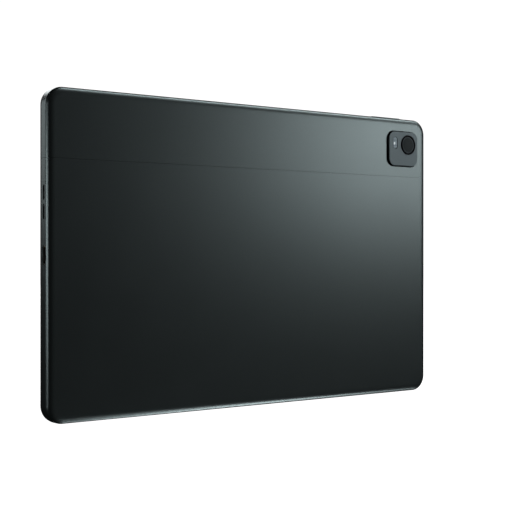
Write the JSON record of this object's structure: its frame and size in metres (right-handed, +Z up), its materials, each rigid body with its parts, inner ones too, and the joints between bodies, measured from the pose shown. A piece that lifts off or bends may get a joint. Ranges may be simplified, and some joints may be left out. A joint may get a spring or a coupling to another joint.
{
  "type": "tablet computer",
  "caption": "Thin rounded tablet computer standing on its long edge, with a screen on one face and a corner camera island on the back.",
  "frame": {"origin": "bottom centre of the box around the tablet as it stands on its lower long edge", "axes": "+X to the right as seen from behind, +Y through the body to the screen, +Z up"},
  "size_m": [0.248, 0.0092, 0.1577],
  "materials": {
    "housing_aluminium": "fine satin blasted and anodised, dark grey",
    "cover_plastic": "satin painted plastic matched to the housing",
    "island_metal": "satin grey",
    "ring_metal": "turned bright ring",
    "dark_glass": "polished, black behind",
    "screen_panel": "dark polariser",
    "window_plastic": "frosted clear",
    "led": "yellow phosphor",
    "black_plastic": "fine texture",
    "steel_sheet": "plated sheet",
    "mesh_black": "woven dust mesh",
    "board_laminate": "solder mask over glass laminate",
    "flex_film": "amber film over copper",
    "cell_pouch": "black wrapped aluminium laminate pouch",
    "graphite": "dark satin foil",
    "backlight_film": "white reflector film",
    "gasket_foam": "black adhesive foam",
    "copper_foil": "copper foil on film"
  },
  "bodies": {
    "tablet": {"rear_housing": "housing_aluminium", "antenna_cover": "cover_plastic", "camera_island": "island_metal", "lens_ring": "ring_metal", "lens_glass": "dark_glass", "flash_window": "window_plastic", "flash_led": "led", "rear_camera_module": "black_plastic", "volume_up_switch": "steel_sheet", "volume_down_switch": "steel_sheet", "volume_flex": "flex_film", "power_switch": "steel_sheet", "power_flex": "flex_film", "tray_cage": "steel_sheet", "usb_shell": "steel_sheet", "usb_tongue": "black_plastic", "usb_board": "board_laminate", "left_speaker": "black_plastic", "right_speaker": "black_plastic", "left_speaker_mesh": "mesh_black", "right_speaker_mesh": "mesh_black", "main_board": "board_laminate", "processor_shield": "steel_sheet", "power_shield": "steel_sheet", "memory_shield": "steel_sheet", "radio_shield": "steel_sheet", "lower_microphone": "steel_sheet", "upper_microphone": "steel_sheet", "main_board_screw_1": "steel_sheet", "main_board_screw_2": "steel_sheet", "main_board_screw_3": "steel_sheet", "main_board_screw_4": "steel_sheet", "usb_board_screw_5": "steel_sheet", "usb_board_screw_6": "steel_sheet", "main_flex": "flex_film", "display_flex": "flex_film", "left_battery_cell": "cell_pouch", "right_battery_cell": "cell_pouch", "battery_board": "board_laminate", "battery_lead": "flex_film", "graphite_sheet": "graphite", "mid_frame": "black_plastic", "backlight_unit": "backlight_film", "display_panel": "screen_panel", "display_gasket": "gasket_foam", "cover_glass": "dark_glass", "front_camera_module": "black_plastic", "light_sensor": "black_plastic", "wifi_antenna": "copper_foil", "cellular_antenna": "copper_foil", "satellite_antenna": "copper_foil", "contactless_coil": "copper_foil"},
    "volume_key": {"volume_key": "cover_plastic"},
    "power_key": {"power_key": "cover_plastic"},
    "card_tray": {"card_tray": "housing_aluminium"},
    "eject_rod": {"eject_rod": "steel_sheet"},
    "eject_lever": {"eject_lever": "steel_sheet"}
  },
  "joints": [
    {"name": "volume_rock", "type": "hinge", "parent": "tablet", "child": "volume_key", "pos_m": [0.0948, 0.0005, 0.1564], "axis": [0, 1, 0], "range_deg": [-1.4, 1.4], "stiffness_Nm_per_rad": 0.5},
    {"name": "power_press", "type": "slide", "parent": "tablet", "child": "power_key", "axis": [-1, 0, 0], "range_m": [0, 0.0003], "stiffness_N_per_m": 4000},
    {"name": "tray_slide", "type": "slide", "parent": "tablet", "child": "card_tray", "axis": [1, 0, 0], "range_m": [0, 0.016]},
    {"name": "eject_rod_push", "type": "slide", "parent": "tablet", "child": "eject_rod", "axis": [-1, 0, 0], "range_m": [0, 0.0008]},
    {"name": "eject_lever_turn", "type": "hinge", "parent": "tablet", "child": "eject_lever", "pos_m": [0.1018, 0.0005, 0.058], "axis": [0, -1, 0], "range_deg": [0, 6.7]}
  ],
  "couplings": [
    {"joint": "eject_lever_turn", "follows": "eject_rod_push", "rad_per_m": 144}
  ]
}
